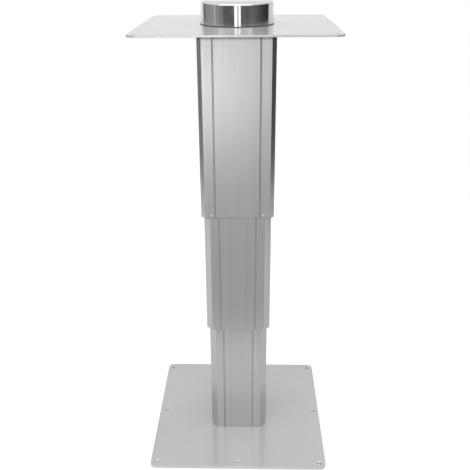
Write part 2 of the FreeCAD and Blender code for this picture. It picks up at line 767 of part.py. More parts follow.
def make_key_bush():
    """The bush in the spindle's top, with two keys that ride in the lead screw's grooves."""
    body = new_body("spindle_key_bush", "(%s - Sizes.bush_height)" % SPINDLE_TOP)
    bore = "(Sizes.screw_thread_radius + Sizes.bush_clearance)"
    sketch = new_sketch(body, "ring_outline")
    add_circle(sketch, cell("bush_radius"))
    add_circle(sketch, bore)
    pad(body, "ring", sketch, cell("bush_height"))
    keys = new_sketch(body, "key_outline")
    half = "(Sizes.key_width / 2)"
    root = "(Sizes.bush_radius - Sizes.key_root_depth)"
    add_polygon(keys, rectangle(cell("key_tip_radius"), root, less(half), half))
    key = pad(body, "key", keys, cell("bush_height"))
    around(body, "keys", [key], 2)


def make_lead_screw():
    """The lead screw that hangs from the gearbox, with two key grooves down its thread."""
    body = new_body("lead_screw", "(%s - Sizes.axial_clearance)" % HOUSING_FOOT)
    thread = cell("screw_thread_radius")
    end = "(-%s + Sizes.axial_clearance)" % SCREW_REACH
    step = "(Sizes.screw_bearing_width + Sizes.axial_clearance * 2)"
    tail = "(%s + Sizes.screw_tail)" % step
    under = less(cell("screw_collar"))
    sketch = new_sketch(body, "profile", "XZ_Plane")
    add_polygon(sketch, [("0", end), (thread, end), (thread, under), (cell("screw_collar_radius"), under),
                         (cell("screw_collar_radius"), "0"), (cell("screw_journal_radius"), "0"),
                         (cell("screw_journal_radius"), step), (cell("screw_tail_radius"), step),
                         (cell("screw_tail_radius"), tail), ("0", tail)])
    revolve(body, "screw", sketch)
    slots = new_sketch(body, "groove_outline", shift=("0", "0", end))
    floor = "(Sizes.key_tip_radius - Sizes.key_clearance)"
    half = "(Sizes.key_width / 2 + Sizes.key_clearance)"
    mouth = "(Sizes.screw_thread_radius + Sizes.cut_past)"
    add_polygon(slots, rectangle(floor, mouth, less(half), half))
    reach = "(%s - Sizes.screw_collar - Sizes.key_groove_end)" % SCREW_REACH
    slot = pocket(body, "key_groove", slots, reach, reverse=True)
    around(body, "key_grooves", [slot], 2)


def make_top_plate():
    """Table plate: eight holes sunk from below, four screws into the upper head, the gearbox opening,
    and a turned groove that centres the cap's seat ring."""
    thickness = cell("top_thickness")
    body = plate("top_plate", UPPER_TOP, cell("top_side"), thickness, cell("top_corner_radius"))
    fixing_holes(body, cell("top_side"), thickness, from_above=False)
    sinks(body, "head_screw_sink", "m5", (PLATE_SCREW_PLACE, PLATE_SCREW_PLACE), thickness, 4,
          thickness, up=False)
    opening = new_sketch(body, "opening_outline")
    add_circle(opening, "(Sizes.housing_hub_radius + Sizes.fit_clearance)")
    pocket(body, "opening", opening, thickness, reverse=True)
    holes(body, "gearbox_hole", shank_room("m5"), (cell("gearbox_screw_circle"), "0"), thickness, 4)
    groove = new_sketch(body, "seat_groove_outline", shift=("0", "0", thickness))
    add_circle(groove, "(%s + Sizes.fit_clearance)" % SEAT_RIM)
    add_circle(groove, "(Sizes.seat_inner_radius - Sizes.fit_clearance)")
    pocket(body, "seat_groove", groove, cell("seat_groove_depth"))


def make_bearing_housing():
    """The head in the top of the upper tube: it takes the lead screw's thrust and carries the table
    plate and the gearbox, with a hub up through the plate."""
    body = new_body("bearing_housing", HOUSING_FOOT)
    thickness = cell("housing_thickness")
    outline = new_sketch(body, "plate_outline")
    add_polygon(outline, stage_octagon("upper", glide_face("upper")))
    pad(body, "head_plate", outline, thickness)
    rise = "(Sizes.housing_thickness + Sizes.top_thickness + Sizes.housing_hub_rise)"
    hub = new_sketch(body, "hub_outline")
    add_circle(hub, cell("housing_hub_radius"))
    pad(body, "hub", hub, rise)
    race = "(Sizes.screw_bearing_outer + Sizes.fit_clearance)"
    throat = "(Sizes.screw_journal_radius + Sizes.throat_clearance)"
    step = cell("screw_bearing_width")
    steps = [("0", "0"), ("0", race), (step, race), (step, throat), (rise, throat), (rise, "0")]
    bore = upright_profile(body, "bore_profile", steps, ("0", "0"))
    turned_cut(body, "bore", bore)
    holes(body, "gearbox_hole", shank_room("m5"), (cell("gearbox_screw_circle"), "0"), thickness, 4)
    holes(body, "plate_screw_hole", shank_room("m5"), (PLATE_SCREW_PLACE, PLATE_SCREW_PLACE), thickness, 4)
    holes(body, "retainer_hole", shank_room("m3"), (cell("retainer_screw_circle"), "0"), thickness, 3)
    half = "(Sizes.upper_width / 2)"
    tapped = [("0", "0"), ("0", shank_room("m4")), (cell("head_screw_reach"), shank_room("m4")),
              (cell("head_screw_reach"), "0")]
    cuts = []
    for name, shift in beside("(Sizes.housing_thickness / 2)"):
        sketch = side_profile(body, name + "_hole_outline", "XZ_Plane", shift, less(half), tapped)
        cuts.append(turned_cut(body, name + "_hole", sketch, "H_Axis"))
    around(body, "side_holes", cuts, 2)


def make_upper_head_screws():
    """Four sunk screws that hold the upper tube on its head, two at the left and two at the right."""
    body = new_body("upper_head_screws", HOUSING_FOOT)
    profile = screw_profile("m4", "(Sizes.head_screw_reach - Sizes.screw_tip_room)")
    face = "(-Sizes.upper_width / 2 + Sizes.screw_sunk)"
    screws = []
    for name, shift in beside("(Sizes.housing_thickness / 2)"):
        sketch = side_profile(body, name + "_screw_outline", "XZ_Plane", shift, face, profile)
        screws.append(revolve(body, name + "_screw", sketch, "H_Axis"))
    around(body, "screws", screws, 2)


def make_screw_bearing():
    """The bearing that carries the lead screw."""
    bore = "(Sizes.screw_journal_radius + Sizes.run_clearance)"
    bearing("screw_bearing", HOUSING_FOOT, bore)


def make_bearing_retainer():
    """The thin ring screwed under the housing, which keeps the lead screw's bearing up."""
    body = new_body("bearing_retainer", "(%s - Sizes.retainer_thickness)" % HOUSING_FOOT)
    sketch = new_sketch(body, "outline")
    add_circle(sketch, cell("retainer_radius"))
    add_circle(sketch, "(Sizes.screw_collar_radius + Sizes.throat_clearance)")
    pad(body, "ring", sketch, cell("retainer_thickness"))
    sinks(body, "screw_sink", "m3", (cell("retainer_screw_circle"), "0"), cell("retainer_thickness"), 3)


def gearbox_block():
    """The outline of the gearbox's upright walls and of its cover."""
    half = cell("gearbox_half_width")
    return rectangle(less(half), half, less(cell("gearbox_front")), cell("gearbox_back"))


def make_gearbox_housing():
    """The cast gearbox on the table plate: a round foot, a block for wheel and worm, and a bearing boss."""
    body = new_body("gearbox_housing", PLATE_TOP)
    block = new_sketch(body, "block_outline")
    add_polygon(block, gearbox_block())
    pad(body, "block", block, "(Sizes.gearbox_height - Sizes.gearbox_cover)")
    fillet(body, "block_corners", cell("gearbox_corner"), is_upright)
    foot = new_sketch(body, "foot_outline")
    add_circle(foot, cell("gearbox_flange_radius"))
    pad(body, "foot", foot, cell("gearbox_flange"))
    boss = new_sketch(body, "worm_boss_outline", "YZ_Plane", ("0", "0", cell("gearbox_half_width")))
    add_circle(boss, cell("worm_boss_radius"), cell("worm_offset"), cell("worm_height"))
    pad(body, "worm_boss", boss, cell("worm_boss_rise"))
    recess = new_sketch(body, "hub_recess_outline")
    add_circle(recess, "(Sizes.housing_hub_radius + Sizes.fit_clearance)")
    pocket(body, "hub_recess", recess, "(Sizes.housing_hub_rise + Sizes.fit_clearance)", reverse=True)
    bore = new_sketch(body, "screw_bore_outline")
    add_circle(bore, "(Sizes.screw_tail_radius + Sizes.run_clearance)")
    depth = ("(Sizes.screw_bearing_width + Sizes.screw_tail - Sizes.housing_thickness"
             " - Sizes.top_thickness + Sizes.throat_clearance)")
    pocket(body, "screw_bore", bore, depth, reverse=True)
    holes(body, "foot_hole", shank_room("m5"), (cell("gearbox_screw_circle"), "0"),
          cell("gearbox_flange"), 4)


def make_gearbox_cover():
    """The flat cover on the gearbox."""
    body = new_body("gearbox_cover", "(%s + Sizes.gearbox_height - Sizes.gearbox_cover)" % PLATE_TOP)
    sketch = new_sketch(body, "outline")
    add_polygon(sketch, gearbox_block())
    pad(body, "sheet", sketch, cell("gearbox_cover"))
    fillet(body, "corners", cell("gearbox_corner"), is_upright)


def make_gearbox_screws():
    """Four cap-head screws that clamp gearbox, table plate and upper head together."""
    body = new_body("gearbox_screws", "(%s + Sizes.gearbox_flange)" % PLATE_TOP)
    head = cell("m5_cap_head_radius")
    height = cell("m5_cap_head_height")
    recess = "(Sizes.m5_radius * Sizes.recess_share)"
    floor = "(%s - %s)" % (height, recess)
    clamped = "(Sizes.gearbox_flange + Sizes.top_thickness + Sizes.housing_thickness)"
    end = "(Sizes.screw_tip_room - %s)" % clamped
    sketch = new_sketch(body, "screw_outline", "XZ_Plane", (cell("gearbox_screw_circle"), "0", "0"))
    add_polygon(sketch, [("0", end), (cell("m5_radius"), end), (cell("m5_radius"), "0"), (head, "0"),
                         (head, height), (recess, height), (recess, floor), ("0", floor)])
    screw = revolve(body, "screw", sketch)
    around(body, "screws", [screw], 4)


def make_motor():
    """The motor that lies beside the gearbox: a drawn can and a moulded end cap with a bearing boss."""
    axis = (cell("worm_offset"), cell("worm_height"))
    can = new_body("motor_can", PLATE_TOP)
    sketch = new_sketch(can, "outline", "YZ_Plane", ("0", "0", less(cell("gearbox_half_width"))))
    add_circle(sketch, cell("motor_radius"), *axis)
    pad(can, "can", sketch, cell("motor_length"), reverse=True)
    end = new_body("motor_end_cap", PLATE_TOP)
    face = "(-Sizes.gearbox_half_width - Sizes.motor_length)"
    sketch = new_sketch(end, "outline", "YZ_Plane", ("0", "0", face))
    add_circle(sketch, cell("motor_end_radius"), *axis)
    pad(end, "disc", sketch, cell("motor_end_length"), reverse=True)
    boss = new_sketch(end, "boss_outline", "YZ_Plane", ("0", "0", face))
    add_circle(boss, cell("motor_boss_radius"), *axis)
    pad(end, "boss", boss, cell("motor_boss_length"), reverse=True)


def make_cap_seat():
    """The moulded ring in the table plate's groove that the cap stands on and grips."""
    body = new_body("cap_seat_ring", PLATE_TOP)
    foot = less(cell("seat_groove_depth"))
    grip = "(Sizes.cap_radius - Sizes.cap_sheet - Sizes.fit_clearance)"
    top = "(Sizes.seat_thickness + Sizes.seat_upstand)"
    sketch = new_sketch(body, "profile", "XZ_Plane")
    add_polygon(sketch, [(cell("seat_inner_radius"), foot), (SEAT_RIM, foot),
                         (SEAT_RIM, cell("seat_thickness")), (grip, cell("seat_thickness")), (grip, top),
                         (cell("seat_inner_radius"), top)])
    revolve(body, "ring", sketch)


def make_motor_cap():
    """The drawn cap over the motor: a drum with a rounded edge, open below, with a cable hole behind."""
    body = new_body("motor_cap", "(%s + Sizes.seat_thickness)" % PLATE_TOP)
    sketch = new_sketch(body, "outline")
    add_circle(sketch, cell("cap_radius"))
    pad(body, "drum", sketch, cell("cap_height"))
    fillet(body, "edge", cell("cap_edge_radius"), lies_at(number(cell("cap_height"))))
    tip = body.Tip
    at_foot = lies_at(0)
    open_faces = ["Face%d" % (i + 1) for i, face in enumerate(tip.Shape.Faces) if at_foot(face)]
    shell = body.newObject("PartDesign::Thickness", "shell")
    shell.Base = (tip, open_faces)
    shell.setExpression("Value", cell("cap_sheet"))
    shell.Reversed = True
    doc.recompute()
    outlet = new_sketch(body, "cable_hole_outline", "XZ_Plane")
    add_circle(outlet, "(Sizes.grommet_neck + Sizes.fit_clearance)", "0", cell("grommet_height"))
    pocket(body, "cable_hole", outlet, "(Sizes.cap_radius + Sizes.cut_past)")


def make_cable_grommet():
    """The grommet in the back of the cap, where the supply lead goes in."""
    body = new_body("cable_grommet", "(%s + Sizes.seat_thickness)" % PLATE_TOP)
    outer = "(Sizes.cap_radius + Sizes.fit_clearance)"
    dip = "(Sizes.grommet_flange * Sizes.grommet_flange / Sizes.cap_radius / 2)"
    inner = "(Sizes.cap_radius - Sizes.cap_sheet - %s - 2 * Sizes.fit_clearance)" % dip
    sketch = new_sketch(body, "profile", "YZ_Plane", ("0", cell("grommet_height"), "0"))
    add_polygon(sketch, [("(%s - Sizes.grommet_lip)" % inner, cell("grommet_bore")),
                         ("(%s + Sizes.grommet_lip)" % outer, cell("grommet_bore")),
                         ("(%s + Sizes.grommet_lip)" % outer, cell("grommet_flange")),
                         (outer, cell("grommet_flange")), (outer, cell("grommet_neck")),
                         (inner, cell("grommet_neck")), (inner, cell("grommet_flange")),
                         ("(%s - Sizes.grommet_lip)" % inner, cell("grommet_flange"))])
    revolve(body, "grommet", sketch, "H_Axis")


def short_of_end(clamped, threaded):
    """The length of a screw through one piece into another, which stops short of its hole's end."""
    return "(Sizes.%s + Sizes.%s - Sizes.screw_tip_room)" % (clamped, threaded)


def make_fasteners():
    """The sets of countersunk screws, each set one sub-part."""
    sunk = cell("screw_sunk")
    countersunk_screws("lower_tube_screws", "m5", cell("port_screw_length"), (PORT_PLACE, PORT_PLACE),
                       sunk, 4, up=True)
    countersunk_screws("nut_post_screws", "m5", short_of_end("base_thickness", "post_flange"),
                       (cell("post_screw_circle"), "0"), sunk, 4, up=True)
    countersunk_screws("base_nut_screws", "m3", short_of_end("base_nut_flange", "base_nut_screw_depth"),
                       (cell("base_nut_screw_circle"), "0"),
                       "(%s + Sizes.base_nut_flange - %s)" % (POST_TOP, sunk), 3)
    countersunk_screws("middle_nut_screws", "m3", short_of_end("middle_nut_flange", "head_thickness"),
                       (cell("middle_nut_screw_circle"), "0"),
                       "(%s + Sizes.middle_nut_flange - %s)" % (MIDDLE_TOP, sunk), 3)
    countersunk_screws("retainer_screws", "m3", short_of_end("retainer_thickness", "housing_thickness"),
                       (cell("retainer_screw_circle"), "0"),
                       "(%s - Sizes.retainer_thickness + %s)" % (HOUSING_FOOT, sunk), 3, up=True)
    countersunk_screws("top_plate_screws", "m5", short_of_end("top_thickness", "housing_thickness"),
                       (PLATE_SCREW_PLACE, PLATE_SCREW_PLACE), "(%s - %s)" % (PLATE_TOP, sunk), 4)


make_base_plate()
make_lower_tube()
collar("lower", "middle", cell("base_thickness"))
make_nut_post()
make_base_nut()
make_middle_tube()
wiper("middle", "lower", MIDDLE_FOOT)
glide_strips("middle", "lower", MIDDLE_FOOT, with_studs=False)
collar("middle", "upper", MIDDLE_FOOT)
make_middle_head()
make_middle_head_screws()
make_middle_nut()
make_spindle_bearing()
make_bearing_circlip()
make_hollow_spindle()
make_key_bush()
make_upper_tube()
wiper("upper", "middle", UPPER_FOOT)
glide_strips("upper", "middle", UPPER_FOOT, with_studs=True)
make_top_plate()
make_bearing_housing()
make_upper_head_screws()
make_screw_bearing()
make_bearing_retainer()
make_lead_screw()
make_gearbox_housing()
make_gearbox_cover()
make_gearbox_screws()
make_motor()
make_cap_seat()
make_motor_cap()
make_cable_grommet()
make_fasteners()
doc.recompute()

for item in doc.Objects:
    if "Invalid" in item.State or "Error" in item.State:
        raise RuntimeError("%s failed to build" % item.Label)
for sub_part in sub_parts:
    if sub_part.Shape.isNull() or not sub_part.Shape.isValid():
        raise RuntimeError("%s has no valid shape" % sub_part.Label)

os.makedirs("parts", exist_ok=True)
for sub_part in sub_parts:
    sub_part.Shape.exportStep("parts/%s.step" % sub_part.Label)
    print("%-24s %10.1f mm3, %d solids" % (sub_part.Label, sub_part.Shape.Volume, len(sub_part.Shape.Solids)))
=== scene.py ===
# %% [markdown]
# A height adjustable table leg, dressed for its picture.
# The leg is three octagonal aluminium tubes that slide in one another, a floor plate, a table plate and
# a low mirror cap over the motor. Its solids come in as a fixed frame, each piece at its real place, and
# this lesson gives them their finishes, a small studio and the camera.
# Everything is in metres, with the middle of the floor plate's underside at the origin.

# %% Load the leg's solids
import json
import math

import bmesh
import bpy
from mathutils import Matrix, Vector


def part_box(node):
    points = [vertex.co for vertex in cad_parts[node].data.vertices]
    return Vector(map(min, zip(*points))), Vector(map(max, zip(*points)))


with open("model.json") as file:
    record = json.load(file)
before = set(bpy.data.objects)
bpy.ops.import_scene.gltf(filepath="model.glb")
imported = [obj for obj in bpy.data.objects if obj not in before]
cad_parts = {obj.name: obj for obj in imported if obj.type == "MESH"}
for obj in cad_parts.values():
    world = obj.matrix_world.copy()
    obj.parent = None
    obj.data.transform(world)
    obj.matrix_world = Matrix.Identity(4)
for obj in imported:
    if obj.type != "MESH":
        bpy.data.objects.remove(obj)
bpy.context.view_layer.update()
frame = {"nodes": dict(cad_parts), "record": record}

nodes = frame["nodes"]
scene = bpy.context.scene

# %% [markdown]
# Every finish below is a node tree on one Principled shader. Three helpers keep the trees short: one
# adds a node and fills its sockets, one names a grey, and one starts a material whose shader has its
# constant values set on its own sockets. Patterns read Object coordinates, which here are plain metres.

# %% Helpers for node trees
def add(tree, kind, **settings):
    """One node. Capitalised settings fill sockets (underscores read as spaces), others are properties."""
    node = tree.nodes.new(kind)
    for name, value in settings.items():
        if name[0].isupper():
            socket = node.inputs[name.replace("_", " ")]
            if isinstance(value, bpy.types.NodeSocket):
                tree.links.new(value, socket)
            else:
                socket.default_value = value
        else:
            setattr(node, name, value)
    return node


def grey(level, warmth=0.0):
    """A nearly neutral colour, a little yellow for a warmth above zero."""
    return (level * (1 + warmth / 2), level, level * (1 - warmth), 1)


def start_finish(name, **constants):
    """A material with one Principled shader, and the Object coordinates that its patterns read."""
    material = bpy.data.materials.new(name)
    material.use_nodes = True
    tree = material.node_tree
    shader = tree.nodes["Principled BSDF"]
    for socket, value in constants.items():
        shader.inputs[socket.replace("_", " ")].default_value = value
    place = tree.nodes.new("ShaderNodeTexCoord").outputs["Object"]
    return material, tree, shader, place


print("helpers", [helper.__name__ for helper in (add, grey, start_finish)])

# %% [markdown]
# A surface that was brushed, turned, cast or moulded has a fine grain, and noise stretched along the
# tool's path gives it. The same value can then tint the surface, make it duller or shinier, and raise a
# fine relief, so that all three agree as they do on a real surface. These helpers do one of those steps
# each.

# %% Helpers for patterns
NOISE_LOW, NOISE_HIGH = 0.3, 0.7
FINE_DETAIL, SOFT_DETAIL, CLOUD_DETAIL = 3.0, 2.0, 1.0


def grain(tree, place, scale, detail=FINE_DETAIL):
    """Noise from 0 to 1 with its own scale along X, Y and Z, in cycles a metre."""
    stretched = add(tree, "ShaderNodeMapping", Vector=place, Scale=scale).outputs[0]
    return add(tree, "ShaderNodeTexNoise", Vector=stretched, Scale=1.0, Detail=detail).outputs["Fac"]


def spread(tree, value, low, high, from_low=NOISE_LOW, from_high=NOISE_HIGH):
    """A value spread between two levels; most of a noise lies between its low and its high."""
    remap = add(tree, "ShaderNodeMapRange", Value=value)
    remap.inputs["From Min"].default_value = from_low
    remap.inputs["From Max"].default_value = from_high
    remap.inputs["To Min"].default_value = low
    remap.inputs["To Max"].default_value = high
    return remap.outputs[0]


def combine(tree, operation, first, second):
    """Two values joined by one step of arithmetic."""
    node = tree.nodes.new("ShaderNodeMath")
    node.operation = operation
    for socket, value in zip(node.inputs, (first, second)):
        if isinstance(value, bpy.types.NodeSocket):
            tree.links.new(value, socket)
        else:
            socket.default_value = value
    return node.outputs[0]


def blend_colours(tree, factor, first, second):
    """One colour that goes from a first to a second as a factor goes from 0 to 1."""
    mix = tree.nodes.new("ShaderNodeMix")
    mix.data_type = "RGBA"
    for socket, value in (("Factor", factor), ("A", first), ("B", second)):
        if isinstance(value, bpy.types.NodeSocket):
            tree.links.new(value, mix.inputs[socket])
        else:
            mix.inputs[socket].default_value = value
    return mix.outputs["Result"]


def drive(tree, shader, socket, value):
    """A shader socket that follows a pattern."""
    tree.links.new(value, shader.inputs[socket])


def tint(tree, shader, value, dark, light):
    """The shader's colour, running between two colours as a value goes from 0 to 1."""
    drive(tree, shader, "Base Color", blend_colours(tree, value, dark, light))


def relief(tree, shader, value, depth):
    """A fine bump whose full height is a length in metres."""
    bump = add(tree, "ShaderNodeBump", Height=value, Distance=depth, Strength=1.0)
    drive(tree, shader, "Normal", bump.outputs[0])


print("a noise is read from", NOISE_LOW, "to", NOISE_HIGH)

# %% [markdown]
# The tubes are pressed through a die and then brushed and anodised along their length. Brushing draws
# hair-fine lines up the tube, and the die leaves wider, fainter bands. Both are the same noise, squeezed
# across the tube and stretched along it. The fine lines also smear a highlight sideways, which the
# shader's anisotropy does with a tangent that runs round the upright axis.
# The grooves get painted shade, so they are darker on two of the tubes, most of all at the upper tube's
# top. They are found by how deep a point lies under the octagon of the outer faces, whose measures come
# from the tube's own mesh. Each tube has a share of its colour that is left in its grooves at the foot,
# and one at the top. The strip that shows right under the table plate lies in its shade, and is darker
# too.

# %% Brushed and anodised tubes
BRUSH_SCALE = (2600, 2600, 14)
BAND_SCALE = (170, 170, 1.6)
TUBE_DARK = grey(0.54, 0.008)
TUBE_LIGHT = grey(0.62, 0.008)
TUBE_SHEEN = (0.28, 0.36)
TUBE_ANISOTROPY = 0.55
BRUSH_DEPTH = 0.000012
SHADE_SHARE = 0.40
SHADE_NEAR, SHADE_FAR = 0.0105, 0.0148
GROOVE_FROM, GROOVE_TO = 0.0001, 0.0004
# Share of colour left in each tube's grooves, at the foot and at the top: painted shade.
GROOVE_SHADE_SHARES = {"lower_tube": (0.92, 0.95), "middle_tube": (1.0, 1.0), "upper_tube": (0.95, 0.6)}
plate_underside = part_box("top_plate")[0].z


def depth_under_skin(tree, place, tube):
    """How far a point lies inside the octagon that the tube's outer faces make, in metres."""
    corners = [corner.co for corner in tube.data.vertices]
    half_width = max(abs(spot.x) for spot in corners)
    corner_reach = max(abs(spot.x) + abs(spot.y) for spot in corners)
    print(tube.name, "half width", round(half_width, 4), "corner reach", round(corner_reach, 4))
    parts = add(tree, "ShaderNodeSeparateXYZ", Vector=place)
    across = combine(tree, "ABSOLUTE", parts.outputs["X"], 0)
    along = combine(tree, "ABSOLUTE", parts.outputs["Y"], 0)
    under_flat = combine(tree, "SUBTRACT", half_width, combine(tree, "MAXIMUM", across, along))
    under_corner = combine(tree, "SUBTRACT", corner_reach, combine(tree, "ADD", across, along))
    return combine(tree, "MINIMUM", under_flat, combine(tree, "MULTIPLY", under_corner, math.sqrt(0.5)))


def tube_finish(tube, foot_shade_share, top_shade_share):
    """Brushed metal with painted shade in its grooves: a share of its colour stays there, foot to top."""
    material, tree, shader, place = start_finish("tube_metal", Metallic=1.0, Anisotropic=TUBE_ANISOTROPY)
    hair = grain(tree, place, BRUSH_SCALE)
    bands = grain(tree, place, BAND_SCALE)
    mean = combine(tree, "MULTIPLY", combine(tree, "ADD", hair, bands), 0.5)
    brushed = blend_colours(tree, spread(tree, mean, 0, 1), TUBE_DARK, TUBE_LIGHT)
    height = add(tree, "ShaderNodeSeparateXYZ", Vector=place).outputs["Z"]
    shade_end, shade_start = plate_underside - SHADE_FAR, plate_underside - SHADE_NEAR
    shade = spread(tree, height, 1, SHADE_SHARE, shade_end, shade_start)
    depth = depth_under_skin(tree, place, tube)
    tube_low, tube_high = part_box(tube.name)
    # Painted shade in the grooves, running from the foot's share to the top's.
    painted_groove_shade = spread(tree, height, 1 - foot_shade_share, 1 - top_shade_share, tube_low.z, tube_high.z)
    in_groove = spread(tree, depth, 0, 1, GROOVE_FROM, GROOVE_TO)
    groove_shade_share = combine(tree, "SUBTRACT", 1, combine(tree, "MULTIPLY", in_groove, painted_groove_shade))
    share = combine(tree, "MULTIPLY", shade, groove_shade_share)
    shaded = add(tree, "ShaderNodeVectorMath", operation="SCALE", Scale=share)
    tree.links.new(brushed, shaded.inputs[0])
    drive(tree, shader, "Base Color", shaded.outputs[0])
    drive(tree, shader, "Roughness", spread(tree, hair, *TUBE_SHEEN))
    round_axis = add(tree, "ShaderNodeTangent", direction_type="RADIAL", axis="Z")
    drive(tree, shader, "Tangent", round_axis.outputs[0])
    relief(tree, shader, hair, BRUSH_DEPTH)
    return material


print("tubes, shaded to", SHADE_SHARE, "under the plate at", round(plate_underside, 4))

# %% [markdown]
# Floor plate and table plate have a smooth satin coat, mostly paint with a little metal in it. Close by
# it mirrors what stands on it, and a hand's breadth away that mirror image is already soft, so its
# roughness is low but not nothing. The coat's skin is very slightly uneven, and its tone drifts a little
# over the plate. Round the plates' edges the colour is lighter, a painted highlight, and a mask finds
# them by how little they face up or down.

# %% Satin coat of the two plates
COAT_DARK = grey(0.53, 0.006)
COAT_LIGHT = grey(0.56, 0.006)
COAT_SHEEN = (0.17, 0.22)
COAT_METAL = 0.3
DRIFT_SCALE = (9, 9, 9)
SKIN_SCALE = (420, 420, 420)
SKIN_DEPTH = 0.000006
# A lighter colour round the plates' edges: a painted highlight.
EDGE_HIGHLIGHT_COLOUR = grey(0.68, 0.006)
EDGE_FROM, EDGE_TO = 0.05, 0.8


def coat_finish():
    """The coat of both plates, with a painted highlight round their edges."""
    material, tree, shader, place = start_finish("plate_coat", Metallic=COAT_METAL)
    drift = grain(tree, place, DRIFT_SCALE, SOFT_DETAIL)
    skin = grain(tree, place, SKIN_SCALE)
    coat = blend_colours(tree, spread(tree, drift, 0, 1), COAT_DARK, COAT_LIGHT)
    facing = add(tree, "ShaderNodeNewGeometry").outputs["Normal"]
    upward = add(tree, "ShaderNodeSeparateXYZ", Vector=facing).outputs["Z"]
    on_face = spread(tree, combine(tree, "MULTIPLY", upward, upward), 0, 1, EDGE_FROM, EDGE_TO)
    # Painted highlight: the edges, which face sideways, get the lighter colour.
    tint(tree, shader, on_face, EDGE_HIGHLIGHT_COLOUR, coat)
    drive(tree, shader, "Roughness", spread(tree, drift, *COAT_SHEEN))
    relief(tree, shader, skin, SKIN_DEPTH)
    return material


print("coat, roughness", COAT_SHEEN)

# %% [markdown]
# The cap is spun from sheet steel and polished. Its wall is a mirror with the faintest polishing lines
# round it, which smear what it mirrors up and down. On its flat top the spinning marks are rings round
# the middle, so a highlight there draws out into a wedge from the middle to the edge. A mask from the
# height tells top from wall. A spun wall often has a little draft, which the solid leaves out. The
# shading leans back by that much, so the wall mirrors the studio and not the plate at its foot.

# %% Mirror cap
CAP_METAL_DARK = grey(0.70)
CAP_METAL_LIGHT = grey(0.78)
WALL_SHEEN = 0.1
TOP_SHEEN = 0.17
TOP_FROM, TOP_TO = 0.002, 0.0004
CAP_ANISOTROPY = 0.8
QUARTER_TURN = 0.25
RING_SCALE = (1500, 1, 900)
RING_DEPTH = 0.0000015
WALL_LEAN = 0.045
cap_low, cap_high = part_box("motor_cap")


def cap_finish():
    """Polished steel, with level lines round its wall and rings on its top."""
    material, tree, shader, place = start_finish("cap_mirror", Metallic=1.0, Anisotropic=CAP_ANISOTROPY)
    parts = add(tree, "ShaderNodeSeparateXYZ", Vector=place)
    on_top = spread(tree, parts.outputs["Z"], 0, 1, cap_high.z - TOP_FROM, cap_high.z - TOP_TO)
    across = combine(tree, "MULTIPLY", parts.outputs["X"], parts.outputs["X"])
    along = combine(tree, "MULTIPLY", parts.outputs["Y"], parts.outputs["Y"])
    radius = combine(tree, "POWER", combine(tree, "ADD", across, along), 0.5)
    ring_place = add(tree, "ShaderNodeCombineXYZ", X=radius, Y=0.0, Z=parts.outputs["Z"])
    rings = grain(tree, ring_place.outputs[0], RING_SCALE)
    tint(tree, shader, rings, CAP_METAL_DARK, CAP_METAL_LIGHT)
    drive(tree, shader, "Roughness", spread(tree, on_top, WALL_SHEEN, TOP_SHEEN, 0, 1))
    round_axis = add(tree, "ShaderNodeTangent", direction_type="RADIAL", axis="Z")
    drive(tree, shader, "Tangent", round_axis.outputs[0])
    shader.inputs["Anisotropic Rotation"].default_value = QUARTER_TURN
    facing = add(tree, "ShaderNodeNewGeometry").outputs["Normal"]
    leaned = add(tree, "ShaderNodeVectorMath", operation="ADD")
    tree.links.new(facing, leaned.inputs[0])
    leaned.inputs[1].default_value = (0, 0, WALL_LEAN)
    drafted = add(tree, "ShaderNodeVectorMath", operation="NORMALIZE")
    tree.links.new(leaned.outputs[0], drafted.inputs[0])
    bump = add(tree, "ShaderNodeBump", Height=rings, Distance=RING_DEPTH, Strength=1.0)
    tree.links.new(drafted.outputs[0], bump.inputs["Normal"])
    drive(tree, shader, "Normal", bump.outputs[0])
    return material


print("cap from", round(cap_low.z, 4), "to", round(cap_high.z, 4))

# %% [markdown]
# Inside, the drive has its own finishes: turned steel and bronze with fine rings, zinc on screws, a
# gritty cast skin on the heads and the gearbox, white slide plastic, black moulded plastic and soft
# rubber. They differ in colour, sheen and the scale of their grain, so one short function for each way
# of making is enough.

# %% Finishes of the drive and the fittings
TURNING_SCALE = (12, 12, 1700)
TURNING_SPREAD = 0.12
TURNING_DEPTH = 0.00001
CAST_METAL = 0.9
GRIT_SCALE = (900, 900, 900)
CLOUD_SCALE = (60, 60, 60)
CAST_SHEEN = (0.42, 0.6)
CAST_DEPTH = 0.00004
MOULD_SCALE = (1300, 1300, 1300)
MOULD_DRIFT_SCALE = (40, 40, 40)
MOULD_SPREAD = 0.1
SMOOTH_MOULD, GRITTY_MOULD = 0.00001, 0.00003


def turned_finish(name, dark, light, sheen):
    """Turned metal: fine rings that follow the height along the piece."""
    material, tree, shader, place = start_finish(name, Metallic=1.0)
    rings = grain(tree, place, TURNING_SCALE)
    tint(tree, shader, spread(tree, rings, 0, 1), dark, light)
    drive(tree, shader, "Roughness", spread(tree, rings, sheen, sheen + TURNING_SPREAD))
    relief(tree, shader, rings, TURNING_DEPTH)
    return material


def cast_finish(name, dark, light):
    """Die cast metal: a gritty skin with soft clouds."""
    material, tree, shader, place = start_finish(name, Metallic=CAST_METAL)
    grit = grain(tree, place, GRIT_SCALE)
    clouds = grain(tree, place, CLOUD_SCALE)
    tint(tree, shader, spread(tree, clouds, 0, 1), dark, light)
    drive(tree, shader, "Roughness", spread(tree, grit, *CAST_SHEEN))
    relief(tree, shader, grit, CAST_DEPTH)
    return material


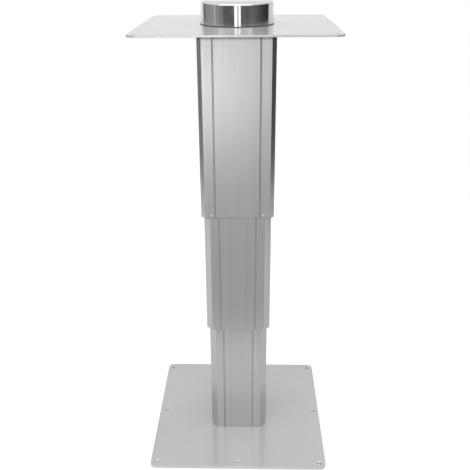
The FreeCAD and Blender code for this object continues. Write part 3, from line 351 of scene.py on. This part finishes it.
def moulded_finish(name, dark, light, sheen, grit_depth):
    """Moulded plastic or rubber: a fine even texture."""
    material, tree, shader, place = start_finish(name, Metallic=0.0)
    texture = grain(tree, place, MOULD_SCALE, SOFT_DETAIL)
    drift = grain(tree, place, MOULD_DRIFT_SCALE, CLOUD_DETAIL)
    tint(tree, shader, spread(tree, drift, 0, 1), dark, light)
    drive(tree, shader, "Roughness", spread(tree, texture, sheen, sheen + MOULD_SPREAD))
    relief(tree, shader, texture, grit_depth)
    return material


print("cast sheen", CAST_SHEEN)

# %% [markdown]
# Every slot of the leg gets one of those finishes. Six pieces have a finish of their own in the same
# slot: each tube, because its grooves are found from its own outline, the strips whose whiter studs show
# as bright dots at the upper tube's foot, and the wipers, which are grey rubber and not black.

# %% A finish for every piece
BRONZE_DARK = (0.42, 0.27, 0.11, 1)
BRONZE_LIGHT = (0.55, 0.37, 0.17, 1)

finishes = {
    "plate_coat": coat_finish(),
    "cap_mirror": cap_finish(),
    "screw_steel": turned_finish("screw_steel", grey(0.50), grey(0.60), 0.26),
    "machined_steel": turned_finish("machined_steel", grey(0.38), grey(0.50), 0.2),
    "motor_steel": turned_finish("motor_steel", grey(0.34), grey(0.42), 0.3),
    "nut_bronze": turned_finish("nut_bronze", BRONZE_DARK, BRONZE_LIGHT, 0.25),
    "cast_metal": cast_finish("cast_metal", grey(0.40), grey(0.50)),
    "guide_plastic": moulded_finish("guide_plastic", grey(0.72, 0.03), grey(0.78, 0.02), 0.38, SMOOTH_MOULD),
    "black_plastic": moulded_finish("black_plastic", grey(0.025), grey(0.035), 0.42, GRITTY_MOULD),
    "seal_rubber": moulded_finish("seal_rubber", grey(0.016), grey(0.026), 0.6, GRITTY_MOULD),
}

slot_of = {part["node"]: part["material_slot"] for part in frame["record"]["subparts"]}
own_finish = {name: tube_finish(nodes[name], *shade_shares) for name, shade_shares in GROOVE_SHADE_SHARES.items()}
stud_plastic = moulded_finish("stud_plastic", grey(0.92, 0.01), grey(0.95, 0.01), 0.3, SMOOTH_MOULD)
wiper_rubber = moulded_finish("wiper_rubber", grey(0.26), grey(0.31), 0.55, GRITTY_MOULD)
own_finish["upper_glide_strips"] = stud_plastic
own_finish["middle_wiper"] = wiper_rubber
own_finish["upper_wiper"] = wiper_rubber
for name, piece in nodes.items():
    piece.data.materials.clear()
    piece.data.materials.append(own_finish.get(name) or finishes[slot_of[name]])
used = {piece.data.materials[0].name for piece in nodes.values()}
print("finishes", len(used), "on", len(nodes), "pieces")

# %% [markdown]
# Brushed tubes and a mirror cap show mostly what stands round them, so the studio's room is a ring of
# panels, dark in front and at the sides and white behind. They are given as compass angles seen from the
# leg: 0 is the camera's side and plus or minus 180 is behind. Above them is a pale ceiling, and below
# the floor's edge they are a little darker. To the camera itself the room is plain white, as the floor
# is.

# %% Room of light and dark panels
FLOOR_RADIUS = 1.39
ROOM = [(-180, 1.05), (-155, 1.0), (-145, 0.88), (-130, 0.80), (-127, 0.06), (-115, 0.26), (-100, 0.32),
        (-76, 0.34), (-73, 0.62), (-70, 0.34), (-45, 0.20), (-40, 0.11), (-13, 0.10), (-7.8, 0.12),
        (-6.6, 0.63), (10, 0.63), (13, 0.14), (18, 0.10), (23, 0.17), (28, 0.10), (50, 0.15),
        (78, 0.07), (98, 0.035), (115, 0.04), (118, 0.73), (145, 0.82), (155, 0.95), (180, 1.03)]
SKY = 0.95
SKY_FROM, SKY_TO = 0.12, 0.45
LOW_SHARE = 0.72
LOW_FROM, LOW_TO = -0.10, -0.16


def make_room():
    """The world: its panels for every ray but the camera's own, which sees plain white."""
    world = bpy.data.worlds.new("room")
    scene.world = world
    world.use_nodes = True
    tree = world.node_tree
    direction = add(tree, "ShaderNodeTexCoord").outputs["Generated"]
    parts = add(tree, "ShaderNodeSeparateXYZ", Vector=direction)
    forward = combine(tree, "MULTIPLY", parts.outputs["Y"], -1.0)
    angle = combine(tree, "ARCTAN2", parts.outputs["X"], forward)
    turn = spread(tree, angle, 0, 1, -math.pi, math.pi)
    panels = add(tree, "ShaderNodeValToRGB", Fac=turn)
    ramp = panels.color_ramp
    while len(ramp.elements) < len(ROOM):
        ramp.elements.new(0.5)
    for element, (degrees, level) in zip(ramp.elements, ROOM):
        element.position = (degrees + 180) / 360
        element.color = grey(level)
    height = parts.outputs["Z"]
    low_share = spread(tree, height, 1, LOW_SHARE, LOW_FROM, LOW_TO)
    walls = add(tree, "ShaderNodeVectorMath", operation="SCALE", Scale=low_share)
    tree.links.new(panels.outputs[0], walls.inputs[0])
    room = blend_colours(tree, spread(tree, height, 0, 1, SKY_FROM, SKY_TO), walls.outputs[0], grey(SKY))
    seen = add(tree, "ShaderNodeLightPath").outputs["Is Camera Ray"]
    shown = blend_colours(tree, seen, room, grey(1.0))
    tree.links.new(shown, tree.nodes["Background"].inputs["Color"])
    print("room panels", len(ROOM))


make_room()

# %% [markdown]
# The floor is a matt white disc, a little darker to the right. It is small enough for the tubes' slanted
# corners to mirror the dark room beyond its rim. The camera sees it brighter than it is lit, which makes
# it as white as the room while the leg's soft shadow stays on it, and what mirrors it sees a part of
# that. From below the disc is clear, so the leg can be looked at from there too.

# %% White floor
FLOOR_LEFT, FLOOR_RIGHT = grey(0.86), grey(0.66)
FADE_FROM, FADE_TO = -1.1, 0.4
FLOOR_SIDES = 96
FLOOR_LIFT = 0.45
MIRRORED_SHARE = 0.2
FLOOR_LEVEL = -0.0005


def make_floor():
    """The one-sided disc, with a glow that only the camera and mirrors see."""
    disc = bmesh.new()
    place = Matrix.Translation((0, 0, FLOOR_LEVEL))
    bmesh.ops.create_circle(disc, cap_ends=True, segments=FLOOR_SIDES, radius=FLOOR_RADIUS, matrix=place)
    mesh = bpy.data.meshes.new("floor")
    disc.to_mesh(mesh)
    disc.free()
    floor = bpy.data.objects.new("floor", mesh)
    scene.collection.objects.link(floor)
    material = bpy.data.materials.new("floor_white")
    material.use_nodes = True
    tree = material.node_tree
    tree.nodes.remove(tree.nodes["Principled BSDF"])
    spot = add(tree, "ShaderNodeTexCoord").outputs["Object"]
    across = add(tree, "ShaderNodeSeparateXYZ", Vector=spot).outputs["X"]
    white = blend_colours(tree, spread(tree, across, 0, 1, FADE_FROM, FADE_TO), FLOOR_LEFT, FLOOR_RIGHT)
    matt = add(tree, "ShaderNodeBsdfDiffuse", Color=white)
    rays = add(tree, "ShaderNodeLightPath").outputs
    mirrored = combine(tree, "MULTIPLY", rays["Is Glossy Ray"], MIRRORED_SHARE)
    seen = combine(tree, "ADD", rays["Is Camera Ray"], mirrored)
    lift = add(tree, "ShaderNodeEmission", Strength=combine(tree, "MULTIPLY", seen, FLOOR_LIFT))
    total = tree.nodes.new("ShaderNodeAddShader")
    tree.links.new(matt.outputs[0], total.inputs[0])
    tree.links.new(lift.outputs[0], total.inputs[1])
    below = add(tree, "ShaderNodeNewGeometry").outputs["Backfacing"]
    clear = add(tree, "ShaderNodeBsdfTransparent")
    one_sided = add(tree, "ShaderNodeMixShader", Fac=below)
    tree.links.new(total.outputs[0], one_sided.inputs[1])
    tree.links.new(clear.outputs[0], one_sided.inputs[2])
    tree.links.new(one_sided.outputs[0], tree.nodes["Material Output"].inputs["Surface"])
    mesh.materials.append(material)
    print("floor", FLOOR_RADIUS, "m in radius")


make_floor()

# %% [markdown]
# A plain grey card lies on the floor in front of the leg and is seen only by what mirrors it. It is as
# matt as the floor and has none of its lift, so the middle tube, which mirrors just that part of the
# floor, comes out a shade darker than the tube below it.

# %% Card in front
CARD_NEAR, CARD_FAR = -0.38, -1.36
CARD_HALF_WIDTH = 0.6
CARD_LEVEL = 0.002
CARD_COLOUR = grey(0.47)


def make_card():
    """The level sheet that only mirrors see."""
    sheet = bmesh.new()
    middle = (0, (CARD_NEAR + CARD_FAR) / 2, CARD_LEVEL)
    half_size = (CARD_HALF_WIDTH, (CARD_NEAR - CARD_FAR) / 2, 1)
    shape = Matrix.Translation(middle) @ Matrix.Diagonal((*half_size, 1))
    bmesh.ops.create_grid(sheet, x_segments=1, y_segments=1, size=1, matrix=shape)
    mesh = bpy.data.meshes.new("card")
    sheet.to_mesh(mesh)
    sheet.free()
    card = bpy.data.objects.new("card", mesh)
    card.visible_camera = False
    card.visible_shadow = False
    card.visible_diffuse = False
    scene.collection.objects.link(card)
    material = bpy.data.materials.new("card_grey")
    material.use_nodes = True
    shader = material.node_tree.nodes["Principled BSDF"]
    shader.inputs["Base Color"].default_value = CARD_COLOUR
    shader.inputs["Roughness"].default_value = 1.0
    mesh.materials.append(material)
    print("card", 2 * CARD_HALF_WIDTH, "m wide")


make_card()

# %% [markdown]
# Two tall softboxes stand behind the camera with a gap between them. The cap mirrors them as a white
# stripe that is duller down its middle. Below and to their left stands a wider, brighter box, at the
# height that the upper tube's front mirrors, and a dimmer one under it, so the glow on that tube fades
# downwards. A long box high in front lights the plates and the foot of the column, and shows as the
# bright line on the cap's rounding. Lamps are left out of the camera's own sight.

# %% Lamps
BOX_DISTANCE = 2.2
STRIPE_BRIGHT = 1.7
STRIPE_HEIGHTS = (0.47, 1.25)
LEFT_BOX = (-6.4, 0.4)
RIGHT_BOX = (6.5, 10.6)
GLOW_BRIGHT = 3.2
GLOW_HEIGHTS = (0.06, 0.45)
GLOW_BOX = (-20.0, -3.0)
FOOT_BRIGHT = 1.3
FOOT_HEIGHTS = (-0.2, 0.06)
FOOT_BOX = (-17.0, -1.0)
KEY_BRIGHT = 1.0
KEY_SIZE = (5.0, 0.8)
KEY_PLACE = (-0.15, -1.78, 1.65)
KEY_TARGET = (0, 0, 0)


def lamp(name, width, height, place, target, bright):
    """An area lamp whose face is so many times as bright as white."""
    power = bright * math.pi * width * height
    data = bpy.data.lights.new(name, "AREA")
    data.shape = "RECTANGLE"
    data.size = width
    data.size_y = height
    data.energy = power
    made = bpy.data.objects.new(name, data)
    made.location = place
    made.rotation_euler = (Vector(target) - Vector(place)).to_track_quat("-Z", "Y").to_euler()
    made.visible_camera = False
    scene.collection.objects.link(made)


def softbox(name, angles, heights, bright):
    """An upright box in front, between two angles seen from the leg and two heights."""
    left, right = (BOX_DISTANCE * math.tan(math.radians(angle)) for angle in angles)
    low, high = heights
    middle = (left + right) / 2
    level = (low + high) / 2
    lamp(name, right - left, high - low, (middle, -BOX_DISTANCE, level), (middle, 0, level), bright)


softbox("left_box", LEFT_BOX, STRIPE_HEIGHTS, STRIPE_BRIGHT)
softbox("right_box", RIGHT_BOX, STRIPE_HEIGHTS, STRIPE_BRIGHT)
softbox("glow_box", GLOW_BOX, GLOW_HEIGHTS, GLOW_BRIGHT)
softbox("foot_box", FOOT_BOX, FOOT_HEIGHTS, FOOT_BRIGHT)
lamp("key_box", *KEY_SIZE, KEY_PLACE, KEY_TARGET, KEY_BRIGHT)

# %% [markdown]
# The camera stands a metre in front of the leg, a little above the table plate, and looks down by about
# 23 degrees, so that the whole leg fills the picture from the cap to the front of the floor plate. The
# place and the three turns were found by fitting the plates' corners, the holes and the tubes.

# %% Camera
CAMERA_PLACE = (0.0201, -1.0148, 0.8109)
CAMERA_DIP = 0.4104
CAMERA_YAW = -0.0253
CAMERA_ROLL = 0.0073
CAMERA_LENS = 50.16
SENSOR = 36.0


def make_camera():
    """The fitted camera, from its place, dip, turn to the side and roll."""
    dip, yaw, roll = CAMERA_DIP, CAMERA_YAW, CAMERA_ROLL
    ahead = Vector((math.sin(yaw) * math.cos(dip), math.cos(yaw) * math.cos(dip), -math.sin(dip)))
    right = Vector((math.cos(yaw), -math.sin(yaw), 0))
    down = ahead.cross(right)
    rolled_right = math.cos(roll) * right + math.sin(roll) * down
    rolled_down = -math.sin(roll) * right + math.cos(roll) * down
    axes = Matrix((rolled_right, -rolled_down, -ahead)).transposed().to_4x4()
    data = bpy.data.cameras.new("camera")
    data.sensor_width = SENSOR
    data.lens = CAMERA_LENS
    camera = bpy.data.objects.new("camera", data)
    camera.matrix_world = Matrix.Translation(CAMERA_PLACE) @ axes
    scene.collection.objects.link(camera)
    scene.camera = camera
    print("camera at", [round(value, 3) for value in camera.location])


make_camera()
scene.view_settings.view_transform = "Standard"
